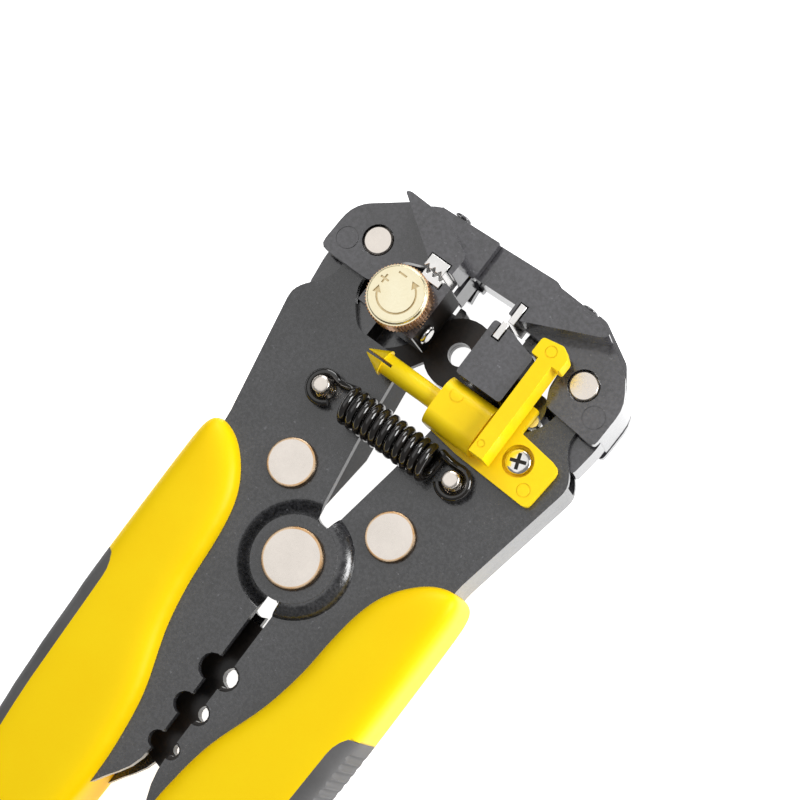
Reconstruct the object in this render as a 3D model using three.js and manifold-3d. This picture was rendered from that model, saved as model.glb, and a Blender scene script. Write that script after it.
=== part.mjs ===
// A self-adjusting wire stripper, about 205 mm long, lying on its back.
// +X is to the right across the tool, +Y points to the jaws, +Z points up from its back.
// The origin is on the main pivot's axis, on the flat face of the pivot rivet's back head.
import * as THREE from 'three';
import { mergeVertices } from 'three/addons/utils/BufferGeometryUtils.js';
import Module from 'manifold-3d';

const wasm = await Module();
wasm.setup();

// Driving dimensions, in millimetres. Heights are measured from the tool's middle plane.
const gap = 0.3;
const midHeight = 11.2;
const sheet = 2.2;
const plateTop = 7.0;
const plateInside = plateTop - sheet;
const bossLow = plateTop + gap;
const bossTop = bossLow + sheet;
const bossRadius = 10;
const bossFoot = 13;
const cheekLow = plateTop + gap;
const cheekTop = 9.8;
const blockTop = 18;
const coreThick = 2.1;
const gripHalf = 11.2;
const pivotHead = 7.2;
const pivotShank = 4;
const plateRivet = { x: 14.3, y: 16.8, head: 5.8, shank: 2.8 };
const springPin = { x: 18.5, y: 34.7, head: 2.1, neck: 1.7, tail: 1.5 };
const jawPin = { x: 29.2, y: 68.8, radius: 3.4, hole: 3.75, hub: 6.3, clear: 7.0 };
const eye = { y: 59.2, radius: 2.8, disc: 8.5 };
const knob = { x: -13.3, y: 59.8, radius: 7.3, low: 18.5, high: 24.5, teeth: 40 };
const coil = { left: -10.5, right: 13.4, y: 34.7, z: 12.2, radius: 3.8, wire: 0.75, turns: 10 };
const stopScrewAt = { x: 27.5, y: 46.9, shank: 1.3, head: 3 };
const stopStudAt = { x: 24, y: 56.1, radius: 1.5 };
const jawScrew = { left: [-17.2, 84, 6.2], right: [17.9, 84.1, 0], shank: 0.7, deep: 2.4 };
const setScrew = { x: -6.2, y: 57.5, z: 12.8, shank: 1.3, head: 2.3 };
const rod = { y: 47, z: 12.8, radius: 2.5, tip: -14.3, barb: -9.2, flare: 3.2 };
const gripBlade = { inner: 8.4, outer: 13.5, pitch: 1.7, tooth: 0.9 };
const stripBlade = { left: 8, right: 9.6 };
const upperShift = 0.85;
const jawPart = 69.2;
const stripPart = 69.5;
const slotEdge = { left: 0.7, right: 3.4 };

const steelBlack = { color: 0x3c3b3c, roughness: 0.5, metalness: 0.4 };
const brightSteel = { color: 0xd8d2cc, roughness: 0.3, metalness: 0.95 };
const springBlack = { color: 0x17120f, roughness: 0.3, metalness: 0.7 };
const brass = { color: 0xe8cf8a, roughness: 0.3, metalness: 0.95 };
const gripYellow = { color: 0xf5c20a, roughness: 0.5, metalness: 0 };
const stopYellow = { color: 0xf7c71c, roughness: 0.45, metalness: 0 };
const darkRubber = { color: 0x3b3b3d, roughness: 0.75, metalness: 0 };

// ---- making solids ----

function toSolid(geometry) {
  const bare = geometry.clone();
  bare.deleteAttribute('normal');
  bare.deleteAttribute('uv');
  const merged = mergeVertices(bare, 1e-4);
  return new wasm.Manifold(new wasm.Mesh({
    numProp: 3,
    vertProperties: new Float32Array(merged.attributes.position.array),
    triVerts: new Uint32Array(merged.index.array),
  }));
}

function toGeometry(solid) {
  const cut = solid.getMesh();
  const geometry = new THREE.BufferGeometry();
  geometry.setAttribute('position', new THREE.BufferAttribute(cut.vertProperties, 3));
  geometry.setIndex(new THREE.BufferAttribute(cut.triVerts, 1));
  geometry.computeVertexNormals();
  return geometry;
}

// An outline through corners [x, y, setback], each corner rounded off from its setback.
// side is 1 for the right half and -1 for its mirror image on the left.
function outline(corners, side = 1) {
  const points = corners.map(([x, y]) => new THREE.Vector2(side * x, y));
  const shape = new THREE.Shape();
  corners.forEach(([, , setback = 0], index) => {
    const here = points[index];
    const before = points[(index + points.length - 1) % points.length];
    const after = points[(index + 1) % points.length];
    const start = here.clone().lerp(before, Math.min(0.5, setback / here.distanceTo(before)));
    const end = here.clone().lerp(after, Math.min(0.5, setback / here.distanceTo(after)));
    if (index === 0) shape.moveTo(start.x, start.y);
    else shape.lineTo(start.x, start.y);
    if (setback > 0) shape.quadraticCurveTo(here.x, here.y, end.x, end.y);
  });
  shape.closePath();
  return shape;
}

function slab(shape, low, high, segments = 3) {
  const settings = { depth: high - low, bevelEnabled: false, curveSegments: segments };
  return toSolid(new THREE.ExtrudeGeometry(shape, settings).translate(0, 0, low));
}

function disc(x, y, radius, low, high, segments = 28) {
  const shape = new THREE.Shape().absarc(x, y, radius, 0, 2 * Math.PI, false);
  return slab(shape, low, high, segments / 2);
}

function box(xs, ys, zs) {
  const size = [xs, ys, zs].map(([low, high]) => high - low);
  const middle = [xs, ys, zs].map(([low, high]) => (low + high) / 2);
  return toSolid(new THREE.BoxGeometry(...size).translate(...middle));
}

// A turned piece along Z, from a profile of [radius, height] points that starts and ends at 0.
function turned(x, y, profile, segments = 28) {
  const points = profile.map(([radius, height]) => new THREE.Vector2(radius, height));
  return toSolid(new THREE.LatheGeometry(points, segments).rotateX(Math.PI / 2).translate(x, y, 0));
}

function join(first, ...others) {
  return others.reduce((whole, piece) => whole.add(piece), first);
}

function cut(whole, ...holes) {
  return holes.reduce((rest, hole) => rest.subtract(hole), whole);
}

// The two heights of a layer and of its twin behind the middle plane.
function layer(face, low, high) {
  return face > 0 ? [low, high] : [-high, -low];
}

// ---- the two half frames: one folded stamping each, the left one turned over ----

const frameCorners = [
  [2.2, 10.5], [5.5, 30, 4], [7.8, 50, 1.5], [21.5, 50, 2], [27.4, 56.5, 5], [27.8, 64],
  [33.6, 64], [33.4, 56.2, 3], [38.4, 50.8, 2], [39.6, 48, 2], [38, 40, 3], [33.4, 17, 3],
  [32.6, 0, 6], [31, -22, 6], [29, -60, 6], [26, -88, 6], [24, -112, 3], [15, -112, 3],
  [12.5, -88, 6], [8.5, -68, 6],
];

const spineInside = [
  [-60, 110], [60, 110], [60, 49.4], [37.3, 48.8], [35.8, 40, 3], [31.2, 17, 3], [30.4, 0, 6],
  [28.8, -22, 6], [26.8, -60, 6], [23.8, -88, 6], [21.6, -108], [-60, -108],
];

const crimpNests = [{ y: -30, radius: 3.2 }, { y: -40, radius: 2.7 }, { y: -50, radius: 2.2 }];

// slot is how far the shank's inner edge lies from the centre line, below the pivot. A relieved
// frame has its boss-side plate cut back beside the pivot, where the wire cutters work.
function halfFrame(slot, relieved) {
  const plates = outline([...frameCorners, [slot, -57, 5], [slot, -11]]);
  let frame = slab(plates, -plateTop, plateTop);
  frame = frame.subtract(slab(outline(spineInside), -plateInside, plateInside));
  for (const face of [1, -1]) {
    const [low, high] = layer(face, plateInside, plateTop);
    frame = frame.add(disc(jawPin.x, jawPin.y, 6.5, low, high, 24));
    const notches = crimpNests.map(({ y, radius }) => disc(slot, y, radius, low - 1, high + 1, 14));
    frame = cut(frame, ...notches);
  }
  const raised = disc(0, 0, bossRadius, bossLow, bossTop, 40);
  const foot = slab(plates, plateInside, bossTop).intersect(toSolid(
    new THREE.CylinderGeometry(bossRadius, bossFoot, bossTop - plateInside, 40)
      .rotateX(Math.PI / 2).translate(0, 0, (bossTop + plateInside) / 2)));
  const flatDisc = disc(0, 0, bossRadius - 0.4, -plateTop, -plateInside, 40);
  frame = cut(frame.add(foot), disc(0, 0, bossRadius + gap, plateInside - 1, bossLow, 40));
  frame = join(frame, raised, flatDisc);
  if (relieved) {
    const throat = outline([[0, 12.5], [6, 12.5], [9.5, 30], [12, 51], [0, 51]]);
    frame = cut(frame, slab(throat, plateInside - 0.1, plateTop + 0.1));
    frame = cut(frame, disc(2.4, -12.8, 2.7, plateInside - 0.1, bossTop + 0.1, 20));
  }
  return cut(
    frame,
    disc(0, 0, pivotShank + gap, -20, 20),
    disc(plateRivet.x, plateRivet.y, plateRivet.shank + gap, -20, 20, 20),
    disc(springPin.x, springPin.y, springPin.tail + gap, -20, 20, 16),
    disc(jawPin.x, jawPin.y, jawPin.hole, -20, 20, 24),
    disc(stopScrewAt.x, stopScrewAt.y, stopScrewAt.shank + gap, plateInside - 1, 20, 16),
  );
}

// ---- grips: a sleeve over each shank, with a ribbed insert let into its outer side ----

const gripCorners = [
  [30, 15.2, 2], [36.9, 16.6, 1.5], [38.5, 13, 2], [38.6, 0, 5], [38.4, -30, 10], [37, -60, 10],
  [33.8, -88, 8], [32, -104, 6], [33.5, -115, 2], [31, -119.5, 3], [14, -119.5, 4],
  [10.5, -104, 8], [7.8, -85, 8], [6.6, -62, 8], [9, -44, 6], [14.5, -30, 5], [16.8, -18, 4],
  [17.3, -8, 4], [18.8, 1.5, 4], [21.5, 7.2, 3], [26, 12.4, 2],
];

const shankRoom = [
  [36, 40], [34, 17, 3], [33, 0, 6], [31.4, -22, 6], [29.4, -60, 6], [26.4, -88, 6], [24.4, -112.4, 3],
  [14.6, -112.4, 3], [12.1, -88, 6], [8.1, -68.3, 6], [-5, -60], [-5, 40],
];

// The insert's ribs run across its outer edge; its inner edge follows the grip.
const insertInside = [[39, -99], [33, -97, 4], [30.6, -86, 8], [33.2, -60, 10], [34.4, -26, 3], [39, -20]];
const insertRibs = { first: -26, last: -92, pitch: 3.3, depth: 0.8 };

function insertRoom(grow, side) {
  const corners = insertInside.map(([x, y, setback]) => [x - grow, y, setback]);
  return outline([...corners, [45, -18], [45, -101]], side);
}

function grip(side) {
  const body = slab(outline(gripCorners, side), -gripHalf, gripHalf, 4);
  const room = slab(outline(shankRoom, side), -plateTop - gap, plateTop + gap);
  const recess = slab(insertRoom(gap, side), -20, 20);
  return cut(body, room, recess);
}

function gripInsert(side) {
  const body = slab(outline(gripCorners, side), -gripHalf, gripHalf, 4);
  let insert = body.intersect(slab(insertRoom(0, side), -20, 20));
  for (let y = insertRibs.first; y > insertRibs.last; y -= insertRibs.pitch) {
    const edge = 38.6 - 0.0011 * (y + 20) ** 2;
    const groove = outline([[edge - insertRibs.depth, y], [edge + 2, y + 1.3], [edge + 2, y - 1.3]], side);
    insert = insert.subtract(slab(groove, -20, 20));
  }
  return insert;
}

// ---- rivets and pins ----

function rivet(x, y, head, shank, low, high, tall) {
  const edge = 0.4;
  return turned(x, y, [
    [0, -high - tall], [head, -high - tall], [head, -low], [shank, -low], [shank, low], [head, low],
    [head, high + tall - edge], [head - edge, high + tall], [0, high + tall],
  ], 32);
}

function tensionPin(side) {
  const { x, y, head, neck, tail } = springPin;
  return turned(side * x, y, [
    [0, plateInside + gap], [tail, plateInside + gap], [tail, bossLow], [3, bossLow], [3, 8], [neck, 8.2],
    [neck, 10.7], [head, 10.9], [head, 12.5], [head - 0.3, 12.9], [0, 12.9],
  ], 20);
}

function jawPinPiece(side) {
  return disc(side * jawPin.x, jawPin.y, jawPin.radius, -cheekTop, cheekTop, 28);
}

// A spacer ring on the pivot rivet, between a plate and the cutter plates.
function pivotSpacer(low, high) {
  return cut(disc(0, 0, 8.5, low, high, 24), disc(0, 0, pivotShank + gap, -20, 20, 24));
}

// ---- cutter plates and crimping dies, inside the channels ----

const cutterCorners = [
  [7, 3], [9.6, 28, 4], [11, 46, 3], [6, 54], [6, 62], [9, 62, 3], [12, 54, 3], [18.6, 48, 3],
  [20.5, 28, 4], [18.5, 6, 3],
];

function cutterPlate(side, low) {
  const high = low + coreThick;
  const arm = slab(outline(cutterCorners, side), low, high);
  const plate = join(arm, disc(0, eye.y, eye.disc, low, high, 32), disc(0, 0, 8.8, low, high, 28));
  return cut(
    plate,
    disc(0, eye.y, eye.radius, -20, 20, 24),
    disc(0, 0, pivotShank + gap, -20, 20),
    disc(side * plateRivet.x, plateRivet.y, plateRivet.shank + gap, -20, 20, 20),
  );
}

// The dies pass each other like scissor blades: the left one runs behind the right one.
function crimpDie(side, inner) {
  const corners = [[inner, -17, 1], [12.5, -17, 1], [14, -34, 3], [11, -53, 3], [inner, -56, 1]];
  const nests = crimpNests.map(({ y, radius }) => disc(side * inner, y, radius - 0.8, -20, 20, 14));
  return cut(slab(outline(corners, side), ...layer(side, 1.5, plateInside - gap)), ...nests);
}

// ---- lower jaws: a block in front and behind, joined past the cutter plates ----

const lowerBlock = [[6.1, 54.2, 0.8], [6.1, 68.7, 1], [9.9, 68.6], [18.4, 66.5, 0.8], [18.2, 54.2, 0.8]];

function lowerJaw(side) {
  const block = outline(lowerBlock, side);
  const ledge = outline([[17.4, 55.5], [17.4, 62], [19.4, 62], [19.4, 55.5]], side);
  const web = outline([[18.7, 55.5], [18.7, 62], [24, 62, 1], [25.5, 59, 1], [25.5, 55.5]], side);
  const foot = outline([[19.4, 44, 1], [19.4, 59], [25.5, 59], [25.5, 44, 1]], side);
  // a thin shelf closes the channel behind the cutter plates
  const shelf = outline([[9.2, 44.5], [9.2, 62], [25.5, 62], [25.5, 44.5]], side);
  return join(
    slab(block, plateInside, blockTop),
    slab(block, -cheekTop, -plateInside),
    slab(foot, -plateInside + gap, plateInside - gap),
    slab(shelf, -plateInside + gap, -3.6),
    slab(ledge, plateInside, plateTop),
    slab(ledge, -plateTop, -plateInside),
    slab(web, -plateTop, plateTop),
  );
}

function leftLowerJaw() {
  const slot = box([-gripBlade.outer - gap, -gripBlade.inner + gap], [66.5, 75], [-20, 20]);
  const thread = disc(knob.x, knob.y, 2.3, 8, 20, 16);
  const { x, y, z, shank } = setScrew;
  const side = new THREE.CylinderGeometry(shank + gap, shank + gap, 7, 16)
    .rotateZ(Math.PI / 2).translate(x, y, z);
  return cut(lowerJaw(-1), slot, thread, toSolid(side));
}

function rightLowerJaw() {
  const slot = box([stripBlade.left - gap, stripBlade.right + gap], [64.9, 75], [-20, 20]);
  return cut(lowerJaw(1), slot, disc(stopStudAt.x, stopStudAt.y, stopStudAt.radius + gap, -20, 20, 16));
}

// ---- upper jaws: two cheeks outside the frame, a raised block, and a web to the other jaw ----

const leftShapes = {
  cheek: [
    [39.7, 60.1, 2.2], [39.3, 70.5, 3], [37.1, 73.9, 1.5], [28.4, 80.3, 0.5], [16.3, 80.6, 1],
    [8.4, 76.2, 0.5], [7.8, 71.2], [16.8, 70, 1], [21.3, 68.3, 1.5], [24.8, 60.1, 1.5],
  ],
  block: [
    [7.8, 71, 0.3], [7.6, 75.4, 0.5], [8.3, 76.4, 0.5], [16.1, 80.7, 1], [27.2, 81.2, 0.6],
    [28.2, 80.5, 0.5], [14.6, 71.2],
  ],
  crown: [
    [37, 61, 0.5], [39.2, 61, 0.5], [39.2, 70.5, 3], [37, 73.8, 1.5], [29, 79.3, 1], [24, 82.9, 0.5],
    [21.9, 83.9, 0.5], [21.9, 74.2], [37, 66],
  ],
  core: [[7.8, 68.6, 0.5], [7.8, 74.5], [24, 74.5], [24, 68.6]],
};
const rightShapes = {
  cheek: [
    [39.1, 59, 1.5], [39.4, 70, 3], [35.3, 76, 1.5], [28.6, 80.2, 0.5], [17.4, 81.7, 1],
    [8.8, 78.4, 0.5], [8, 71.3], [22.6, 71.2, 0.8], [23.2, 64, 1], [25, 60.3, 1.2],
  ],
  block: [
    [7.8, 71.2, 0.3], [7.9, 77.8, 0.5], [8.6, 78.7, 0.5], [17.3, 81.9, 1], [27.4, 80.9, 0.6],
    [28.9, 80.2, 0.5], [28.1, 78.9, 0.5], [10.9, 71.4, 0.3],
  ],
  crown: [
    [37, 61, 0.5], [39, 61, 0.5], [39.2, 70, 3], [36.8, 74, 1.5], [33.6, 78.4, 1], [24.4, 83.6, 0.5],
    [21.9, 83.9, 0.5], [21.9, 74.2], [37, 66],
  ],
  core: [[11.2, 68.6, 0.5], [11.2, 76.2], [24, 76.2], [24, 68.6]],
};
const tailCorners = [[32.2, 66], [33.2, 52, 1], [38, 52, 1], [39, 60, 2], [38, 68.8]];
const forkLow = 4.9;

function upperJaw(side, shapes) {
  const pinX = side * jawPin.x;
  const inside = plateInside - gap;
  const crown = cut(
    slab(outline(shapes.crown, side), -cheekLow - 0.2, cheekLow + 0.2),
    disc(pinX, jawPin.y, jawPin.clear, -20, 20),
  );
  const cheek = outline(shapes.cheek, side);
  return cut(
    join(
      slab(cheek, cheekLow, cheekTop),
      slab(cheek, -cheekTop, -cheekLow),
      slab(outline(shapes.block, side), cheekLow, blockTop),
      crown,
      disc(pinX, jawPin.y, jawPin.hub, -inside, inside, 24),
      slab(outline([[25.2, 70], [33.2, 70], [33.2, 76.5], [25.2, 79]], side), -inside, inside),
      slab(outline(tailCorners, side), -inside, inside),
      slab(outline(shapes.core, side), -inside, inside),
    ),
    disc(pinX, jawPin.y, jawPin.hole, -20, 20, 24),
  );
}

function leftUpperJaw() {
  const fork = outline([[-6.3, 74.3, 0.5], [-6.3, 84.5, 0.5], [-14, 84.1], [-22.4, 83.8], [-22.4, 75]]);
  const inner = gripBlade.inner + upperShift - gap;
  const outer = gripBlade.outer + upperShift + gap;
  const slot = box([-outer, -inner], [68, 72.8], [-20, 20]);
  const top = cheekLow + 0.2;
  const jaw = join(upperJaw(-1, leftShapes), slab(fork, forkLow, top), slab(fork, -top, -forkLow));
  return cut(jaw, slot, topHole(...jawScrew.left));
}

function rightUpperJaw() {
  const tongue = outline([
    [-7.8, 75, 0.5], [-7.8, 84.4, 0.5], [8.9, 85.2, 0.5], [10.6, 84.5], [23, 83.8], [23, 76],
  ]);
  const left = stripBlade.left + upperShift - gap;
  const right = stripBlade.right + upperShift + gap;
  const jaw = upperJaw(1, rightShapes).add(slab(tongue, gap - forkLow, forkLow - gap));
  return cut(jaw, box([left, right], [68, 75], [-20, 20]), topHole(...jawScrew.right));
}

// ---- blades ----

// shift moves a blade outward; the teeth stand on the edge at the parting between the jaws.
function toothedBlade(shift, low, high, teethAt, depth) {
  const { pitch, tooth } = gripBlade;
  const inner = gripBlade.inner + shift;
  const outer = gripBlade.outer + shift;
  const blade = box([-outer, -inner], [low, high], [plateInside + gap, blockTop + gap]);
  const grooves = [];
  for (let x = -outer + pitch / 2; x < -inner; x += pitch) {
    const notch = [[x - pitch / 3, teethAt], [x, teethAt + depth * tooth], [x + pitch / 3, teethAt]];
    grooves.push(slab(outline(notch), 0, 20));
  }
  return cut(blade, ...grooves);
}

function thinBlade(shift, low, high) {
  const { left, right } = stripBlade;
  return box([left + shift, right + shift], [low, high], [plateInside + gap, blockTop + gap]);
}

// ---- tension knob and its screw ----

function tensionKnob() {
  const { x, y, radius, low, high, teeth } = knob;
  const shape = new THREE.Shape();
  for (let step = 0; step < 2 * teeth; step += 1) {
    const reach = step % 2 ? radius : radius - 0.35;
    const turn = (step * Math.PI) / teeth;
    const place = [x + reach * Math.cos(turn), y + reach * Math.sin(turn)];
    if (step) shape.lineTo(...place);
    else shape.moveTo(...place);
  }
  shape.closePath();
  const top = disc(x, y, radius - 0.6, high - 0.6, high, 32);
  return cut(slab(shape, low, high - 0.6).add(top), disc(x, y, 2.3, low - 1, low + 3.5, 16));
}

function knobScrew() {
  return disc(knob.x, knob.y, 2, 8.4, knob.low + 3.2, 16);
}

function topHole(x, top, z) {
  const radius = jawScrew.shank + gap;
  return toSolid(new THREE.CylinderGeometry(radius, radius, 2 * jawScrew.deep + 2 * gap, 12)
    .translate(x, top, z));
}

function topScrew(x, top, z) {
  const { shank, deep } = jawScrew;
  const profile = [[0, -deep], [shank, -deep], [shank, gap], [2.1, gap], [2.1, 0.7], [1.6, 1], [0, 1]];
  const points = profile.map(([radius, height]) => new THREE.Vector2(radius, height));
  return toSolid(new THREE.LatheGeometry(points, 18).translate(x, top, z));
}

function sideScrew() {
  const { x, y, z, shank, head } = setScrew;
  const profile = [
    [0, -3], [shank, -3], [shank, gap], [head, gap], [head, 0.9], [head - 0.5, 1.3], [0, 1.3],
  ];
  const points = profile.map(([radius, height]) => new THREE.Vector2(radius, height));
  return toSolid(new THREE.LatheGeometry(points, 24).rotateZ(-Math.PI / 2).translate(x, y, z));
}

// ---- length stop ----

function stopBracket() {
  const base = outline([[5.8, 41.3, 0.8], [15, 40.1, 0.5], [35.2, 39.4, 1.4], [36.2, 50.9, 2.2],
    [24.2, 52.4, 0.5], [24.5, 58.6, 0.5], [21.8, 58.6, 0.5], [21.8, 52.6], [5.8, 52.6]]);
  const sleeve = box([5.7, 18.3], [41.2, 53.4], [bossLow, rod.z + rod.radius + 1.5]);
  const bore = new THREE.CylinderGeometry(rod.radius + gap, rod.radius + gap, 60, 24)
    .rotateZ(Math.PI / 2).translate(10, rod.y, rod.z);
  return cut(
    join(slab(base, bossLow, cheekTop), sleeve),
    toSolid(bore),
    disc(stopScrewAt.x, stopScrewAt.y, stopScrewAt.head + 0.7, bossLow + 0.8, 20, 24),
    disc(stopScrewAt.x, stopScrewAt.y, stopScrewAt.shank + 0.5, 0, 20, 16),
  );
}

function stopScrew() {
  const { x, y, shank, head } = stopScrewAt;
  const seat = bossLow + 1.1;
  const body = turned(x, y, [
    [0, plateInside + gap], [shank, plateInside + gap], [shank, seat], [head, seat], [head, 9.1],
    [head - 0.6, 9.6], [0, 9.8],
  ], 24);
  const across = box([x - 1.5, x + 1.5], [y - 0.4, y + 0.4], [9, 12]);
  const along = box([x - 0.4, x + 0.4], [y - 1.5, y + 1.5], [9, 12]);
  return cut(body, across, along);
}

function stopSlider() {
  const rodEnd = 21;
  const shaft = new THREE.CylinderGeometry(rod.radius, rod.radius, rodEnd - rod.barb + 0.5, 20)
    .rotateZ(Math.PI / 2).translate((rodEnd + rod.barb - 0.5) / 2, rod.y, rod.z);
  const tip = new THREE.CylinderGeometry(0.6, rod.flare, rod.barb - rod.tip, 20)
    .rotateZ(Math.PI / 2).translate((rod.tip + rod.barb) / 2, rod.y, rod.z);
  const arm = box([19.5, 23.2], [41.9, 67.5], [11, 20]);
  const head = slab(outline([[17.6, 67, 0.5], [17.7, 71.3, 0.8], [22.9, 72.2, 0.6], [25.2, 70.3, 0.6],
    [25.1, 67, 0.5]]), 14, 20);
  const split = box([rod.tip - 2, -7], [rod.y - 0.35, rod.y + 0.35], [0, 20]);
  return cut(join(toSolid(shaft), toSolid(tip)), split).add(arm).add(head);
}

function stopStud() {
  return disc(stopStudAt.x, stopStudAt.y, stopStudAt.radius, plateTop - 4, plateTop, 16);
}

// ---- return spring: coils between the two tension pins, with a hook round each pin ----

function springRoute() {
  const { left, right, y, z, radius, turns } = coil;
  const points = [];
  const hookLow = 9.3;
  const turnPoint = (x, reach, degrees, height) => {
    const angle = (degrees * Math.PI) / 180;
    points.push(new THREE.Vector3(x + reach * Math.cos(angle), y + reach * Math.sin(angle), height));
  };
  for (let degrees = -40; degrees >= -310; degrees -= 30) turnPoint(-springPin.x, 3.3, degrees, hookLow);
  points.push(new THREE.Vector3(-13.4, y + 3.2, hookLow + 0.8));
  for (let step = 0; step <= turns * 10; step += 1) {
    const angle = (step / 10) * 2 * Math.PI;
    const x = left + ((right - left) * step) / (turns * 10);
    points.push(new THREE.Vector3(x, y + radius * Math.cos(angle), z + radius * Math.sin(angle)));
  }
  points.push(new THREE.Vector3(14.8, y + 3.3, hookLow + 1));
  for (let degrees = 110; degrees >= -150; degrees -= 30) turnPoint(springPin.x, 3.1, degrees, hookLow);
  return new THREE.CatmullRomCurve3(points);
}

function returnSpring() {
  const section = new THREE.Shape().absarc(0, 0, coil.wire, 0, 2 * Math.PI, false);
  const settings = { steps: 150, bevelEnabled: false, curveSegments: 3, extrudePath: springRoute() };
  return toSolid(new THREE.ExtrudeGeometry(section, settings));
}

// ---- the assembly ----

const tool = new THREE.Group();
const middle = new THREE.Group();
middle.position.z = midHeight;
tool.add(middle);

function place(name, solid, look, turn = 0) {
  const mesh = new THREE.Mesh(toGeometry(solid), new THREE.MeshStandardMaterial(look));
  mesh.name = name;
  mesh.rotation.y = turn;
  middle.add(mesh);
}

for (const [name, side] of [['right', 1], ['left', -1]]) {
  place(`${name}_frame`, halfFrame(slotEdge[name], side < 0), steelBlack, side < 0 ? Math.PI : 0);
  place(`${name}_grip`, grip(side), gripYellow);
  place(`${name}_grip_insert`, gripInsert(side), darkRubber);
  const { x, y, head, shank } = plateRivet;
  place(`${name}_plate_rivet`, rivet(side * x, y, head, shank, bossLow, 8.6, 0), brightSteel);
  place(`${name}_spring_pin`, tensionPin(side), brightSteel);
  place(`${name}_jaw_pin`, jawPinPiece(side), brightSteel);
  place(`${name}_crimp_die`, crimpDie(side, side < 0 ? -2.6 : slotEdge.right - gap), steelBlack);
}
place('pivot_rivet', rivet(0, 0, pivotHead, pivotShank, bossTop + gap, midHeight, 0), brightSteel);
place('front_pivot_spacer', pivotSpacer(1.5, plateInside - gap), brightSteel);
place('back_pivot_spacer', pivotSpacer(-plateInside + gap, -3.6), brightSteel);
place('left_cutter_plate', cutterPlate(-1, -3.3), steelBlack);
place('right_cutter_plate', cutterPlate(1, -0.9), steelBlack);
place('return_spring', returnSpring(), springBlack);
place('left_lower_jaw', leftLowerJaw(), steelBlack);
place('right_lower_jaw', rightLowerJaw(), steelBlack);
place('left_upper_jaw', leftUpperJaw(), steelBlack);
place('right_upper_jaw', rightUpperJaw(), steelBlack);
place('upper_grip_blade', toothedBlade(upperShift, jawPart + 0.2, 72.5, jawPart + 0.2, 1), brightSteel);
place('lower_grip_blade', toothedBlade(0, 66.8, jawPart - 0.2, jawPart - 0.2, -1), brightSteel);
place('upper_strip_blade', thinBlade(upperShift, stripPart + 0.2, 74.7), brightSteel);
place('lower_strip_blade', thinBlade(0, 65.2, stripPart - 0.1), brightSteel);
place('left_jaw_screw', topScrew(...jawScrew.left), steelBlack);
place('right_jaw_screw', topScrew(...jawScrew.right), steelBlack);
place('tension_knob', tensionKnob(), brass);
place('tension_screw', knobScrew(), brightSteel);
place('jaw_set_screw', sideScrew(), brightSteel);
place('stop_bracket', stopBracket(), stopYellow);
place('stop_screw', stopScrew(), brightSteel);
place('stop_slider', stopSlider(), stopYellow);
place('stop_stud', stopStud(), brass);

export default tool;
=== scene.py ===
import math
import bpy
from mathutils import Matrix, Vector


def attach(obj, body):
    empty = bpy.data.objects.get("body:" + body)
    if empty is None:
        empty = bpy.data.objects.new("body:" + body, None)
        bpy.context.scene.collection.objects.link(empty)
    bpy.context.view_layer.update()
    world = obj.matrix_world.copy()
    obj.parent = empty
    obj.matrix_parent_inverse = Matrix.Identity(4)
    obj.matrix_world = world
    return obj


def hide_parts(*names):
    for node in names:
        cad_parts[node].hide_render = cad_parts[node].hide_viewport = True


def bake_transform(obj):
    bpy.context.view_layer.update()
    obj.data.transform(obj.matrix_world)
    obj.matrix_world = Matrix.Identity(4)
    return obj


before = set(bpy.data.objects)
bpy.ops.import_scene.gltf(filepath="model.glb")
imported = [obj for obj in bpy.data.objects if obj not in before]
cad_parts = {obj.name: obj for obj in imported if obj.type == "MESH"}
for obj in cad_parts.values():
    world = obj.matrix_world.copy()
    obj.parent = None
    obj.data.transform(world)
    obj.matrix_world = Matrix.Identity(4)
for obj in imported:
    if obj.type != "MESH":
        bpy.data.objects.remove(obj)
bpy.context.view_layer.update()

mm = 0.001
midHeight = 11.2        # the tool's middle plane above the floor, mm

view = {"place": (0.13177, 0.01693, 0.49183), "lookAt": (-0.00314, 0.04258, 0.0182),
        "upAngle": 127.79, "lens": 99.0, "sensor": 36}


class Signal:
    # a shader socket that can take part in sums
    def __init__(self, socket):
        self.socket = socket
        self.tree = socket.id_data

    def maths(self, operation, first, second):
        return addNode(self.tree, "ShaderNodeMath", {"operation": operation}, {0: first, 1: second})

    def __add__(self, other):
        return self.maths("ADD", self, other)

    def __sub__(self, other):
        return self.maths("SUBTRACT", self, other)

    def __rsub__(self, other):
        return self.maths("SUBTRACT", other, self)

    def __mul__(self, other):
        return self.maths("MULTIPLY", self, other)

    __radd__ = __add__
    __rmul__ = __mul__


def addNode(tree, kind, settings, sockets, output=0):
    made = tree.nodes.new(kind)
    for name, value in settings.items():
        if name == "stops":
            for element, (position, tone) in zip(made.color_ramp.elements, value):
                element.position = position
                element.color = (tone, tone, tone, 1)
        else:
            setattr(made, name, value)
    for name, value in sockets.items():
        if isinstance(value, Signal):
            tree.links.new(value.socket, made.inputs[name])
        else:
            made.inputs[name].default_value = value
    return Signal(made.outputs[output])

def mixColour(tree, mask, first, second):
    return addNode(tree, "ShaderNodeMix", {"data_type": "RGBA"}, {0: mask, 6: first, 7: second}, 2)

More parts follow.
